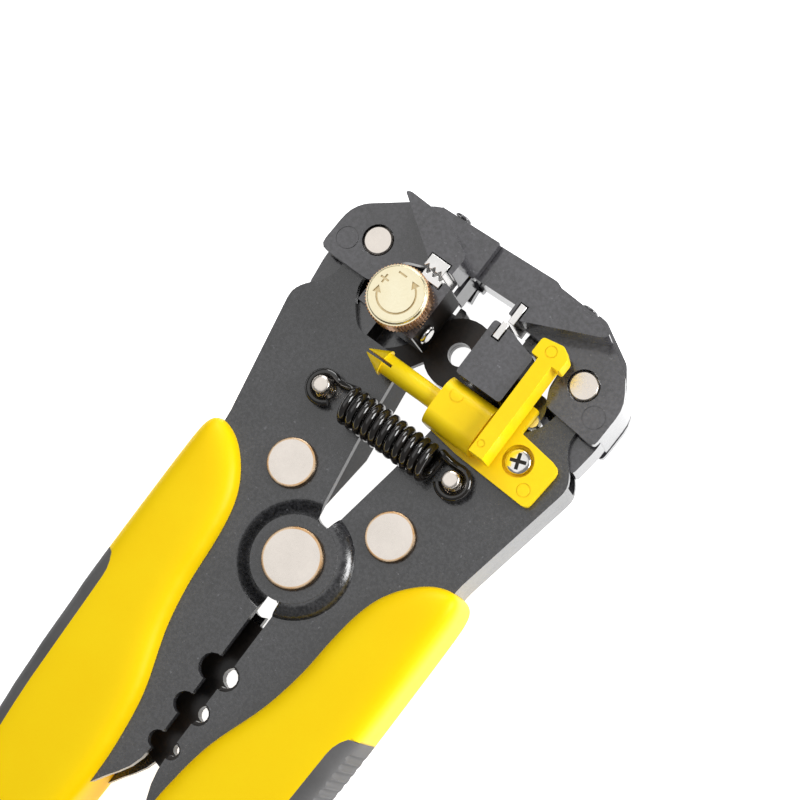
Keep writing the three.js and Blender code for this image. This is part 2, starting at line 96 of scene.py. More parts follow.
def makeFinish(name, look):
    # two tones mottled together, a rougher and a smoother patch, and a fine grain in the surface
    finish = bpy.data.materials.new(name)
    finish.use_nodes = True
    tree = finish.node_tree
    shader = tree.nodes["Principled BSDF"]
    place = addNode(tree, "ShaderNodeTexCoord", {}, {}, "Object")
    cloud = addNode(tree, "ShaderNodeTexNoise", {}, {"Vector": place, "Scale": look["cloud"], "Detail": 4.0})
    grain = addNode(tree, "ShaderNodeTexNoise", {}, {"Vector": place, "Scale": look["grain"], "Detail": 3.0})
    cloudMask = addNode(tree, "ShaderNodeValToRGB", {"stops": [(0.38, 0.0), (0.64, 1.0)]}, {"Fac": cloud})
    grainMask = addNode(tree, "ShaderNodeValToRGB", {"stops": [(0.36, 0.0), (0.64, 1.0)]}, {"Fac": grain})
    fleck = look.get("fleck", 0.2)
    mask = cloudMask * (1 - fleck) + grainMask * fleck
    tone = mixColour(tree, mask, (*look["tone"], 1), (*look["toneTwo"], 1))
    if "speck" in look:
        speck = addNode(tree, "ShaderNodeTexNoise", {},
                        {"Vector": place, "Scale": look["speckScale"], "Detail": 2.0})
        speckMask = addNode(tree, "ShaderNodeValToRGB", {"stops": [(0.70, 0.0), (0.76, 1.0)]}, {"Fac": speck})
        tone = mixColour(tree, speckMask, tone, (*look["speck"], 1))
    tree.links.new(tone.socket, shader.inputs["Base Color"])
    roughness = look["rough"] + (cloud - 0.5) * look["roughSwing"] + (grain - 0.5) * look["roughSwing"]
    tree.links.new(roughness.socket, shader.inputs["Roughness"])
    bump = addNode(tree, "ShaderNodeBump", {},
                   {"Height": grain, "Strength": look["bump"], "Distance": look["bumpDepth"] * mm})
    tree.links.new(bump.socket, shader.inputs["Normal"])
    shader.inputs["Metallic"].default_value = look["metal"]
    shader.inputs["Coat Weight"].default_value = look.get("coat", 0)
    shader.inputs["Coat Roughness"].default_value = 0.08
    shader.inputs["Specular IOR Level"].default_value = look.get("specular", 0.5)
    finish.diffuse_color = (*look["tone"], 1)
    return finish

looks = {
    "blackSteel": {"tone": (0.010, 0.010, 0.011), "toneTwo": (0.044, 0.044, 0.048), "cloud": 70.0,
        "fleck": 0.75, "grain": 1500.0, "rough": 0.24, "roughSwing": 0.14, "bump": 0.55,
        "bumpDepth": 0.07, "metal": 0.0, "specular": 1.0, "speck": (0.10, 0.10, 0.11),
        "speckScale": 1000.0},
    "glossBlack": {"tone": (0.024, 0.023, 0.026), "toneTwo": (0.064, 0.062, 0.070), "fleck": 0.7,
        "cloud": 110.0, "grain": 1100.0, "rough": 0.16, "roughSwing": 0.10, "bump": 0.45,
        "bumpDepth": 0.06, "metal": 0.0, "specular": 1.0, "coat": 0.35, "speck": (0.12, 0.12, 0.13),
        "speckScale": 900.0},
    "innerSteel": {"tone": (0.016, 0.015, 0.015), "toneTwo": (0.040, 0.030, 0.024), "cloud": 150.0,
        "grain": 900.0, "rough": 0.22, "roughSwing": 0.12, "bump": 0.25, "bumpDepth": 0.05,
        "metal": 0.0, "specular": 0.3},
    "shadowSteel": {"tone": (0.004, 0.004, 0.004), "toneTwo": (0.016, 0.012, 0.010), "cloud": 150.0,
        "grain": 900.0, "rough": 0.30, "roughSwing": 0.12, "bump": 0.25, "bumpDepth": 0.05,
        "metal": 0.0, "specular": 0.04},
    "warmSteel": {"tone": (0.80, 0.735, 0.67), "toneTwo": (0.75, 0.69, 0.63), "cloud": 160.0,
        "grain": 1600.0, "rough": 0.26, "roughSwing": 0.10, "bump": 0.10, "bumpDepth": 0.03,
        "metal": 1.0},
    # the rivets' brown rim: a painted reflection
    "rimReflectionSteel": {"tone": (0.62, 0.36, 0.16), "toneTwo": (0.80, 0.62, 0.44), "cloud": 260.0,
        "grain": 1600.0, "rough": 0.25, "roughSwing": 0.10, "bump": 0.10, "bumpDepth": 0.03,
        "metal": 1.0},
    "brightSteel": {"tone": (0.84, 0.82, 0.80), "toneTwo": (0.74, 0.73, 0.71), "cloud": 200.0,
        "grain": 1800.0, "rough": 0.16, "roughSwing": 0.10, "bump": 0.12, "bumpDepth": 0.03,
        "metal": 1.0},
    "springSteel": {"tone": (0.006, 0.006, 0.006), "toneTwo": (0.014, 0.011, 0.009), "cloud": 180.0,
        "grain": 1500.0, "rough": 0.12, "roughSwing": 0.08, "bump": 0.12, "bumpDepth": 0.03,
        "metal": 0.0, "coat": 0.5},
    "paleBrass": {"tone": (0.93, 0.86, 0.63), "toneTwo": (0.89, 0.80, 0.55), "cloud": 160.0,
        "grain": 1800.0, "rough": 0.24, "roughSwing": 0.08, "bump": 0.12, "bumpDepth": 0.03,
        "metal": 1.0},
    # the knob's engraved grooves: a darker copy of its brass, painted shade in the recesses
    "grooveShadeBrass": {"tone": (0.74, 0.62, 0.38), "toneTwo": (0.62, 0.48, 0.26), "cloud": 300.0,
        "grain": 1800.0, "rough": 0.34, "roughSwing": 0.10, "bump": 0.12, "bumpDepth": 0.03,
        "metal": 1.0},
    # the knob's flanks: a darker copy of its brass, painted shade
    "shadedFlankBrass": {"tone": (0.55, 0.31, 0.14), "toneTwo": (0.38, 0.20, 0.10), "cloud": 220.0,
        "grain": 1600.0, "rough": 0.30, "roughSwing": 0.10, "bump": 0.15, "bumpDepth": 0.03,
        "metal": 0.9},
    "gripYellow": {"tone": (0.99, 0.66, 0.0), "toneTwo": (1.0, 0.70, 0.002), "cloud": 40.0,
        "grain": 1500.0, "rough": 0.42, "roughSwing": 0.08, "bump": 0.20, "bumpDepth": 0.03,
        "metal": 0.0, "specular": 0.14},
    "stopYellow": {"tone": (1.0, 0.74, 0.008), "toneTwo": (1.0, 0.68, 0.006), "cloud": 80.0,
        "grain": 1300.0, "rough": 0.32, "roughSwing": 0.08, "bump": 0.15, "bumpDepth": 0.03,
        "metal": 0.0, "specular": 0.2},
    "darkRubber": {"tone": (0.085, 0.083, 0.083), "toneTwo": (0.11, 0.108, 0.108), "cloud": 90.0,
        "grain": 1500.0, "rough": 0.66, "roughSwing": 0.12, "bump": 0.4, "bumpDepth": 0.06,
        "metal": 0.0},
}
finishes = {name: makeFinish(name, look) for name, look in looks.items()}
print("finishes mixed")


def deselectAll():
    if bpy.context.object and bpy.context.object.mode != "OBJECT":
        bpy.ops.object.mode_set(mode="OBJECT")
    bpy.ops.object.select_all(action="DESELECT")


def settled():
    # the piece just added, with its place and size put into its mesh
    bpy.ops.object.transform_apply(location=True, rotation=True, scale=True)
    return bpy.context.object

def takeUp(piece):
    deselectAll()
    piece.select_set(True)
    bpy.context.view_layer.objects.active = piece


def pick(piece, kind, test):
    # leaves the piece in edit mode with the faces, edges or vertices that pass the test selected
    takeUp(piece)
    bpy.ops.object.mode_set(mode="EDIT")
    bpy.ops.mesh.select_mode(type=kind)
    bpy.ops.mesh.select_all(action="DESELECT")
    bpy.ops.object.mode_set(mode="OBJECT")
    mesh = piece.data
    points = [vertex.co / mm for vertex in mesh.vertices]
    if kind == "VERT":
        for vertex, point in zip(mesh.vertices, points):
            vertex.select = bool(test(point))
    elif kind == "EDGE":
        for edge in mesh.edges:
            edge.select = bool(test(points[edge.vertices[0]], points[edge.vertices[1]]))
    else:
        for face in mesh.polygons:
            face.select = bool(test(face.center / mm, face.normal))
    bpy.ops.object.mode_set(mode="EDIT")

def shift(piece, test, way):
    # moves the vertices that pass the test
    pick(piece, "VERT", test)
    bpy.ops.transform.translate(value=tuple(step * mm for step in way))
    bpy.ops.object.mode_set(mode="OBJECT")

def fromCad(node, name):
    # a merged copy of a CAD piece, ready to be finished
    piece = bpy.data.objects.new(name, bpy.data.objects[node].data.copy())
    bpy.context.scene.collection.objects.link(piece)
    piece.data.materials.clear()
    takeUp(piece)
    bpy.ops.object.mode_set(mode="EDIT")
    bpy.ops.mesh.select_all(action="SELECT")
    bpy.ops.mesh.remove_doubles(threshold=0.000005)
    bpy.ops.mesh.dissolve_limited(angle_limit=math.radians(1.5))
    bpy.ops.object.mode_set(mode="OBJECT")
    return piece


def applyModifier(piece, kind, settings):
    takeUp(piece)
    modifier = piece.modifiers.new(kind.lower(), kind)
    for name, value in settings.items():
        setattr(modifier, name, value)
    bpy.ops.object.modifier_apply(modifier=modifier.name)


def softenEdges(piece, width, steps=2, angle=34):
    applyModifier(piece, "BEVEL", {"width": width * mm, "segments": steps, "limit_method": "ANGLE",
                                   "angle_limit": math.radians(angle), "miter_outer": "MITER_ARC"})


def shade(piece, angle=42):
    takeUp(piece)
    bpy.ops.object.shade_smooth_by_angle(angle=math.radians(angle))
    applyModifier(piece, "WEIGHTED_NORMAL", {"keep_sharp": True, "weight": 60})


def turnPiece(name, x, y, profile, steps=72):
    # a turned piece, from [radius, height] points, heights from the middle plane
    radius, height = profile[0]
    deselectAll()
    bpy.ops.mesh.primitive_circle_add(vertices=steps, radius=radius * mm, fill_type="NGON",
                                      location=(x * mm, y * mm, (midHeight + height) * mm))
    piece = settled()
    piece.name = name
    bpy.ops.object.mode_set(mode="EDIT")
    bpy.ops.mesh.select_all(action="SELECT")
    for (oldRadius, oldHeight), (newRadius, newHeight) in zip(profile, profile[1:]):
        bpy.ops.mesh.extrude_region_move(
            TRANSFORM_OT_translate={"value": (0, 0, (newHeight - oldHeight) * mm)})
        size = newRadius / oldRadius
        bpy.ops.transform.resize(value=(size, size, 1),
                                 center_override=(x * mm, y * mm, (midHeight + newHeight) * mm))
    bpy.ops.mesh.select_all(action="SELECT")
    bpy.ops.mesh.normals_make_consistent(inside=False)
    bpy.ops.object.mode_set(mode="OBJECT")
    return piece


def spinPiece(name, x, y, profile, startAngle, sweep, steps):
    # a ring or part of one, from a closed [radius, height] outline spun about a vertical axis
    deselectAll()
    bpy.ops.mesh.primitive_circle_add(vertices=len(profile), radius=0.01, fill_type="NGON")
    piece = bpy.context.object
    piece.name = name
    start = math.radians(startAngle)
    for vertex, (radius, height) in zip(piece.data.vertices, profile):
        vertex.co = ((x + radius * math.cos(start)) * mm, (y + radius * math.sin(start)) * mm,
                     (midHeight + height) * mm)
    bpy.ops.object.mode_set(mode="EDIT")
    bpy.ops.mesh.select_all(action="SELECT")
    if sweep == 360:
        bpy.ops.mesh.delete(type="ONLY_FACE")
        bpy.ops.mesh.select_all(action="SELECT")
    bpy.ops.mesh.spin(steps=steps, angle=-math.radians(sweep), center=(x * mm, y * mm, 0), axis=(0, 0, 1))
    bpy.ops.mesh.select_all(action="SELECT")
    bpy.ops.mesh.remove_doubles(threshold=0.000005)
    bpy.ops.mesh.normals_make_consistent(inside=False)
    bpy.ops.object.mode_set(mode="OBJECT")
    return piece


def joinPieces(first, *others):
    deselectAll()
    for piece in (first, *others):
        piece.select_set(True)
    bpy.context.view_layer.objects.active = first
    bpy.ops.object.join()
    return first


def ringMark(piece, x, y, radius, height):
    # the fine round witness line that an ejector pin leaves
    half, deep = 0.12, 0.22
    ring = [(radius - half, height - deep), (radius + half, height - deep), (radius + half, height + 1),
            (radius - half, height + 1)]
    cutAway(piece, spinPiece("ring", x, y, ring, 0, 360, 36))


def cutAway(piece, cutter):
    applyModifier(piece, "BOOLEAN", {"operation": "DIFFERENCE", "object": cutter, "solver": "EXACT"})
    bpy.data.objects.remove(cutter)


def block(xs, ys, zs):
    size = [(high - low) * mm for low, high in (xs, ys, zs)]
    middle = [(low + high) / 2 * mm for low, high in (xs, ys, zs)]
    middle[2] += midHeight * mm
    deselectAll()
    bpy.ops.mesh.primitive_cube_add(size=1, location=middle, scale=size)
    return settled()


def coat(piece, finish):
    piece.data.materials.clear()
    piece.data.materials.append(finishes[finish])


def titled(node):
    return node.title().replace("_", "")


def finishPiece(piece, nodes, body, finish):
    if finish:
        coat(piece, finish)
    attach(piece, body)
    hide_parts(*nodes)


frameShape = {"edge": 0.6, "shoulderStart": -88, "shoulderSweep": 176, "shoulderSteps": 48,
              "wedgePoint": (2.2, 10.5), "wedgeNormal": (0.986, -0.167, 0), "slotEdge": 3.4,
              "throatEnd": (-3.2, 13.0), "throatProfile": [(3.3, -13), (3.3, 0)]}
# the boss's rounded shoulder on the right, and the soft dish pressed round it into the left plate
shoulderProfile = [(9.0, 6.6), (13.5, 6.6), (13.5, 7.0), (13.3, 7.5), (12.9, 8.1), (12.3, 8.6), (11.5, 9.05),
                   (10.6, 9.35), (9.7, 9.49), (9.0, 9.49)]
dishProfile = [(9.9, 4.9), (11.2, 4.95), (12.3, 5.6), (13.3, 6.5), (14.4, 7.03), (14.4, 9.0), (9.9, 9.0)]

def makeShoulder():
    shoulder = spinPiece("shoulder", 0, 0, shoulderProfile, frameShape["shoulderStart"],
                         frameShape["shoulderSweep"], frameShape["shoulderSteps"])
    bpy.ops.object.mode_set(mode="EDIT")
    bpy.ops.mesh.select_all(action="SELECT")
    x, y = frameShape["wedgePoint"]
    bpy.ops.mesh.bisect(plane_co=(x * mm, y * mm, 0), plane_no=frameShape["wedgeNormal"], use_fill=True,
                        clear_inner=True)
    bpy.ops.object.mode_set(mode="OBJECT")
    cutAway(shoulder, block((-12, frameShape["slotEdge"]), (-20, -6), (5, 12)))
    return shoulder

for side in ("right", "left"):
    stamping = fromCad(f"{side}_frame", f"{side}Stamping")
    if side == "left":
        cutAway(stamping, spinPiece("dish", 0, 0, dishProfile, 0, 360, 60))
        cutAway(stamping, turnPiece("throatEnd", *frameShape["throatEnd"], frameShape["throatProfile"], 40))
    softenEdges(stamping, frameShape["edge"], 3)
    if side == "right":
        stamping = joinPieces(stamping, makeShoulder())
    shade(stamping)
    finishPiece(stamping, [f"{side}_frame"], f"{side}_half", "blackSteel")


wallShape = {"thick": 1.2, "length": 33, "low": -9, "high": 5.2, "knee": 14, "footRise": 13,
             "leans": ((14, -2.3), (33, -4.8)), "place": (-2.9, 13.5), "edge": 0.25}

def makeInnerWall():
    # the left half's folded inner edge, shallow by the pivot and full depth further up
    wall = block((-wallShape["thick"], 0), (0, wallShape["length"]), (wallShape["low"], wallShape["high"]))
    bpy.ops.object.mode_set(mode="EDIT")
    bpy.ops.mesh.select_all(action="SELECT")
    bpy.ops.mesh.bisect(plane_co=(0, wallShape["knee"] * mm, 0), plane_no=(0, 1, 0))
    bpy.ops.object.mode_set(mode="OBJECT")
    for station, lean in wallShape["leans"]:
        shift(wall, lambda point: abs(point.y - station) < 1, (lean, 0, 0))
    shift(wall, lambda point: point.y < 1 and point.z < midHeight, (0, 0, wallShape["footRise"]))
    shift(wall, lambda point: True, (*wallShape["place"], 0))
    return wall

innerWall = makeInnerWall()
innerWall.name = "innerWall"
softenEdges(innerWall, wallShape["edge"], 2)
shade(innerWall)
# the wall gets the near-black, hardly reflecting finish: painted shade in the channel
finishPiece(innerWall, [], "left_half", "shadowSteel")
print("frames stamped")

# jaws, the blades let into them and their screws
jawShape = {"upperEdge": 0.6, "lowerEdge": 0.7, "bladeEdge": 0.12,
            "leftMark": (-35.4, 65.2, 2.6, 9.8), "rightMark": (35.3, 64.3, 2.6, 9.8)}
for side in ("left", "right"):
    upper = fromCad(f"{side}_upper_jaw", f"{side}UpperJaw")
    softenEdges(upper, jawShape["upperEdge"], 3)
    ringMark(upper, *jawShape[f"{side}Mark"])
    shade(upper)
    finishPiece(upper, [f"{side}_upper_jaw"], f"{side}_upper_jaw", "glossBlack")
    lower = fromCad(f"{side}_lower_jaw", f"{side}LowerJaw")
    softenEdges(lower, jawShape["lowerEdge"], 3)
    shade(lower)
    # the walls facing right get the near-black, hardly reflecting finish: painted shade
    coat(lower, "glossBlack")
    lower.data.materials.append(finishes["shadowSteel"])
    for polygon in lower.data.polygons:
        polygon.material_index = 1 if polygon.normal.x > 0.75 else 0
    finishPiece(lower, [f"{side}_lower_jaw"], f"{side}_half", None)
for node, body in (("upper_grip_blade", "left_upper_jaw"), ("lower_grip_blade", "left_half"),
                   ("upper_strip_blade", "right_upper_jaw"), ("lower_strip_blade", "right_half")):
    blade = fromCad(node, titled(node))
    softenEdges(blade, jawShape["bladeEdge"], 2)
    shade(blade)
    finishPiece(blade, [node], body, "brightSteel")
for node, body, finish, edge in (("left_jaw_screw", "left_upper_jaw", "glossBlack", 0.1),
                                 ("right_jaw_screw", "right_upper_jaw", "glossBlack", 0.1),
                                 ("jaw_set_screw", "left_half", "brightSteel", 0.15)):
    screw = fromCad(node, titled(node))
    softenEdges(screw, edge, 2)
    shade(screw)
    finishPiece(screw, [node], body, finish)
print("jaws and blades made")


def rivetProfile(head, shank, low, high, edge):
    return [(head - edge, -high), (head - edge * 0.3, -high + edge * 0.25), (head, -high + edge),
            (head, -low), (shank, -low), (shank, low), (head, low), (head, high - edge),
            (head - edge * 0.3, high - edge * 0.25), (head - edge, high), (head * 0.5, high)]

rivets = {"pivot": {"head": 7.2, "shank": 4, "low": 9.8, "high": 11.2, "edge": 0.75},
          "plate": {"head": 5.8, "shank": 2.8, "low": 7.3, "high": 8.6, "edge": 0.65}}
plateRivetAt = (14.3, 16.8)

def makeRivet(name, x, y, shape, steps):
    # the rim is painted browner than the flat head: a painted reflection
    rivet = turnPiece(name, x, y, rivetProfile(**shape), steps)
    coat(rivet, "warmSteel")
    rivet.data.materials.append(finishes["rimReflectionSteel"])
    for polygon in rivet.data.polygons:
        across = math.hypot(polygon.center.x / mm - x, polygon.center.y / mm - y)
        polygon.material_index = 1 if across > shape["head"] - shape["edge"] - 0.02 else 0
    shade(rivet)
    return rivet

rivet = makeRivet("pivotRivet", 0, 0, rivets["pivot"], 96)
finishPiece(rivet, ["pivot_rivet"], "right_half", None)
pinShape = {"x": 18.5, "y": 34.7}
pinProfile = [(1.5, 5.1), (1.5, 7.3), (2.3, 7.3), (2.4, 7.45), (2.4, 7.85), (2.25, 8), (2.0, 8.1), (1.8, 8.3),
              (1.7, 8.6), (1.7, 10.5), (1.8, 10.75), (1.95, 10.9), (2.1, 11.1), (2.1, 12.4), (2.0, 12.7),
              (1.8, 12.88), (1.0, 12.9)]
jawPinShape = {"x": 29.2, "y": 68.8, "radius": 3.4, "edge": 0.35}
for side, sign in (("right", 1), ("left", -1)):
    rivet = makeRivet(f"{side}PlateRivet", sign * plateRivetAt[0], plateRivetAt[1], rivets["plate"], 80)
    finishPiece(rivet, [f"{side}_plate_rivet"], f"{side}_half", None)
    pin = turnPiece(f"{side}SpringPin", sign * pinShape["x"], pinShape["y"], pinProfile, 48)
    shade(pin)
    finishPiece(pin, [f"{side}_spring_pin"], f"{side}_half", "warmSteel")
    edge = jawPinShape["edge"]
    radius = jawPinShape["radius"]
    jawPin = turnPiece(f"{side}JawPin", sign * jawPinShape["x"], jawPinShape["y"],
                       [(radius - edge, -9.8), (radius, -9.8 + edge), (radius, 9.8 - edge),
                        (radius - edge, 9.8), (radius * 0.5, 9.8)], 60)
    shade(jawPin)
    finishPiece(jawPin, [f"{side}_jaw_pin"], f"{side}_half", "warmSteel")
print("rivets and pins turned")


knobShape = {"x": -13.3, "y": 59.8, "radius": 7.3, "low": 18.5, "high": 24.5, "teeth": 60, "toothDepth": 0.35,
             "arrowRadius": 4.4, "arrow": (200, 220), "tipRadius": 1.15, "lineWidth": 0.46, "lineDepth": 0.4,
             "rim": 6.3, "engraved": 6, "plus": (-17.6, 61.2), "minus": (-14.8, 64.2), "bar": 1.1}

def makeKnob():
    x, y, radius, low, high = (knobShape[key] for key in ("x", "y", "radius", "low", "high"))
    count = knobShape["teeth"] * 2
    profile = [(radius - 0.5, low), (radius, low + 0.5), (radius, high - 1.1), (radius - 0.35, high - 0.85),
               (radius - 0.62, high - 0.8), (radius - 0.66, high - 0.45), (radius - 0.78, high - 0.2),
               (radius - 1.1, high), (radius * 0.5, high)]
    knob = turnPiece("tensionKnob", x, y, profile, count)

    def inGroove(point):
        across = Vector((point.x - x, point.y - y))
        step = math.atan2(across.y, across.x) / (2 * math.pi) * count
        return across.length > radius - 0.05 and round(step) % 2 == 1

    pick(knob, "VERT", inGroove)
    size = (radius - knobShape["toothDepth"]) / radius
    bpy.ops.transform.resize(value=(size, size, 1), center_override=(x * mm, y * mm, midHeight * mm))
    bpy.ops.object.mode_set(mode="OBJECT")
    return knob

def engraveKnob(knob):
    # a curved arrow with a tip at both ends, a ring groove, a plus and a minus, all shallow
    x, y, high = (knobShape[key] for key in ("x", "y", "high"))
    half, deep = knobShape["lineWidth"] / 2, knobShape["lineDepth"]
    reach, bar = knobShape["arrowRadius"], knobShape["bar"]
    stroke = [(reach - half, high - deep), (reach + half, high - deep), (reach + half, high + 1),
              (reach - half, high + 1)]
    startAngle, sweep = knobShape["arrow"]
    cutAway(knob, spinPiece("stroke", x, y, stroke, startAngle, sweep, 48))
    for angle, turn in ((startAngle, 180), (startAngle + sweep, 0)):
        place = math.radians(angle)
        deselectAll()
        bpy.ops.mesh.primitive_cylinder_add(
            vertices=3, radius=knobShape["tipRadius"] * mm, depth=2 * deep * mm,
            location=((x + reach * math.cos(place)) * mm, (y + reach * math.sin(place)) * mm,
                      (midHeight + high) * mm), rotation=(0, 0, math.radians(angle + turn)))
        cutAway(knob, settled())
    ringMark(knob, x, y, knobShape["rim"], high)
    for (px, py), wide, tall in ((knobShape["plus"], bar, half), (knobShape["plus"], half, bar),
                                 (knobShape["minus"], bar, half)):
        cutAway(knob, block((px - wide, px + wide), (py - tall, py + tall), (high - deep, high + 1)))
    return knob

knob = engraveKnob(makeKnob())
coat(knob, "paleBrass")
knob.data.materials.append(finishes["shadedFlankBrass"])
knob.data.materials.append(finishes["grooveShadeBrass"])
for face in knob.data.polygons:
    across = math.hypot(face.center.x / mm - knobShape["x"], face.center.y / mm - knobShape["y"])
    height = face.center.z / mm - midHeight
    # the flanks are painted darker copper: painted shade on the sides
    flank = across > knobShape["radius"] - 0.6 and abs(face.normal.z) < 0.6
    # the grooves are painted darker brass: painted shade in the recesses
    groove = across < knobShape["engraved"] and height < knobShape["high"] - 0.02 and face.normal.z > -0.5
    face.material_index = 1 if flank else 2 if groove else 0
shade(knob, 30)
finishPiece(knob, ["tension_knob"], "tension_knob", None)
print("knob cut")


springShape = {"left": -10.6, "right": 13.4, "y": 34.7, "z": 12.2, "radius": 3.75, "wire": 1.0, "turns": 11,
               "hookHeight": 9.3, "leftHook": 3.5, "rightHook": 3.5}


def springPath():
    points = []
    y, z, coil = (springShape[key] for key in ("y", "z", "radius"))
    for degrees in range(-40, -311, -15):
        angle = math.radians(degrees)
        points.append((-pinShape["x"] + springShape["leftHook"] * math.cos(angle),
                       y + springShape["leftHook"] * math.sin(angle), springShape["hookHeight"]))
    points.append((-13.4, y + 3.2, springShape["hookHeight"] + 0.8))
    steps = springShape["turns"] * 24
    for step in range(steps + 1):
        angle = step / 24 * 2 * math.pi
        x = springShape["left"] + (springShape["right"] - springShape["left"]) * step / steps
        points.append((x, y + coil * math.cos(angle), z + coil * math.sin(angle)))
    points.append((14.8, y + 3.3, springShape["hookHeight"] + 1))
    for degrees in range(110, -151, -15):
        angle = math.radians(degrees)
        points.append((pinShape["x"] + springShape["rightHook"] * math.cos(angle),
                       y + springShape["rightHook"] * math.sin(angle), springShape["hookHeight"]))
    return points


def makeSpring():
    deselectAll()
    bpy.ops.curve.primitive_nurbs_path_add()
    wire = bpy.context.object
    wire.name = "returnSpring"
    wire.data.splines.clear()
    points = springPath()
    path = wire.data.splines.new("NURBS")
    path.points.add(len(points) - 1)
    for point, (x, y, z) in zip(path.points, points):
        point.co = (x * mm, y * mm, (midHeight + z) * mm, 1)
    path.order_u = 4
    path.use_endpoint_u = True
    path.resolution_u = 2
    wire.data.bevel_depth = springShape["wire"] * mm
    wire.data.bevel_resolution = 3
    wire.data.use_fill_caps = True
    bpy.ops.object.convert(target="MESH")
    wire = bpy.context.object
    bpy.ops.object.mode_set(mode="EDIT")
    bpy.ops.mesh.select_all(action="SELECT")
    bpy.ops.mesh.remove_doubles(threshold=0.00001)
    bpy.ops.mesh.normals_make_consistent(inside=False)
    bpy.ops.object.mode_set(mode="OBJECT")
    return settled()


spring = makeSpring()
takeUp(spring)
bpy.ops.object.shade_smooth_by_angle(angle=math.radians(50))
coat(spring, "springSteel")
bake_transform(spring)
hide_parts("return_spring")
print("spring wound")


gripShape = {"voxel": 0.75, "passes": 150, "drawnIn": 1.4, "edge": 37.3, "edgeCurve": 0.0011,
             "edgeMiddle": -20, "insertIn": 1.6, "insertOut": 4, "insertTall": 1.2,
             "ribFirst": -27, "ribLast": -91, "ribPitch": 2.3, "ribRadius": 0.9, "ribDepth": 0.7}

def solidFrom(node, name):
    # the outline of a piece's top face, drawn down through its whole thickness
    piece = fromCad(node, name)
    pick(piece, "FACE", lambda center, normal: normal.z < 0.9 or center.z < 2 * midHeight - 0.05)
    bpy.ops.mesh.delete(type="FACE")
    bpy.ops.mesh.select_all(action="SELECT")
    bpy.ops.mesh.extrude_region_move(TRANSFORM_OT_translate={"value": (0, 0, -2 * midHeight * mm)})
    bpy.ops.mesh.select_all(action="SELECT")
    bpy.ops.mesh.normals_make_consistent(inside=False)
    bpy.ops.object.mode_set(mode="OBJECT")
    return piece


def copyOf(piece, name):
    twin = bpy.data.objects.new(name, piece.data.copy())
    bpy.context.scene.collection.objects.link(twin)
    return twin


def outside(point):
    # on the grip's outer edge, away from the other handle
    bow = gripShape["edgeCurve"] * (point.y - gripShape["edgeMiddle"]) ** 2
    return abs(point.x) > gripShape["edge"] - bow

def insertRegion(side, sign):
    # where the rubber insert sits, widened past the grip's skin on three sides
    region = solidFrom(f"{side}_grip_insert", "region")
    shift(region, lambda point: not outside(point), (-sign * gripShape["insertIn"], 0, 0))
    shift(region, outside, (sign * gripShape["insertOut"], 0, 0))
    bpy.ops.object.mode_set(mode="EDIT")
    bpy.ops.mesh.select_all(action="SELECT")
    bpy.ops.transform.resize(value=(1, 1, gripShape["insertTall"]), center_override=(0, 0, midHeight * mm))
    bpy.ops.object.mode_set(mode="OBJECT")
    return region

def ribCutter(insert, sign):
    # round grooves, each one set to the insert's own skin at that height
    points = [vertex.co / mm for vertex in insert.data.vertices]
    radius = gripShape["ribRadius"]
    ribs = []
    y = gripShape["ribFirst"]
    while y > gripShape["ribLast"]:
        skin = max(abs(point.x) for point in points if abs(point.y - y) < 0.8)
        deselectAll()
        bpy.ops.mesh.primitive_cylinder_add(
            vertices=16, radius=radius * mm, depth=0.03,
            location=(sign * (skin + radius - gripShape["ribDepth"]) * mm, y * mm, midHeight * mm))
        ribs.append(settled())
        y -= gripShape["ribPitch"]
    return joinPieces(*ribs)


for side, sign in (("left", -1), ("right", 1)):
    # one soft body for the whole handle, then the insert is parted from it
    body = joinPieces(solidFrom(f"{side}_grip", f"{side}Grip"), solidFrom(f"{side}_grip_insert", "filler"))
    shift(body, outside, (-sign * gripShape["drawnIn"], 0, 0))
    applyModifier(body, "REMESH", {"mode": "VOXEL", "voxel_size": gripShape["voxel"] * mm})
    applyModifier(body, "SMOOTH", {"factor": 0.5, "iterations": gripShape["passes"]})
    region = insertRegion(side, sign)
    insert = copyOf(body, f"{side}GripInsert")
    applyModifier(insert, "BOOLEAN", {"operation": "INTERSECT", "object": region, "solver": "EXACT"})
    cutAway(insert, ribCutter(insert, sign))
    cutAway(body, region)
    shade(body, 50)
    finishPiece(body, [f"{side}_grip"], f"{side}_half", "gripYellow")
    shade(insert, 50)
    finishPiece(insert, [f"{side}_grip_insert"], f"{side}_half", "darkRubber")
    print(side, "grip moulded")


stopShape = {"edge": 0.45, "sleeveRound": 3.6, "sleeveTop": 16.8, "baseMark": (32.4, 42.4, 1.5, 9.8),
             "sleeveMark": (9.3, 50.3, 1.6, 16.8), "headMark": (21.2, 69.6, 1.3, 20),
             "armMark": (20.9, 44.6, 0.8, 20)}


def alongSleeve(start, end):
    top = midHeight + stopShape["sleeveTop"]
    return min(start.z, end.z) > top - 0.02 and abs(start.y - end.y) < 0.01 and abs(start.x - end.x) > 5


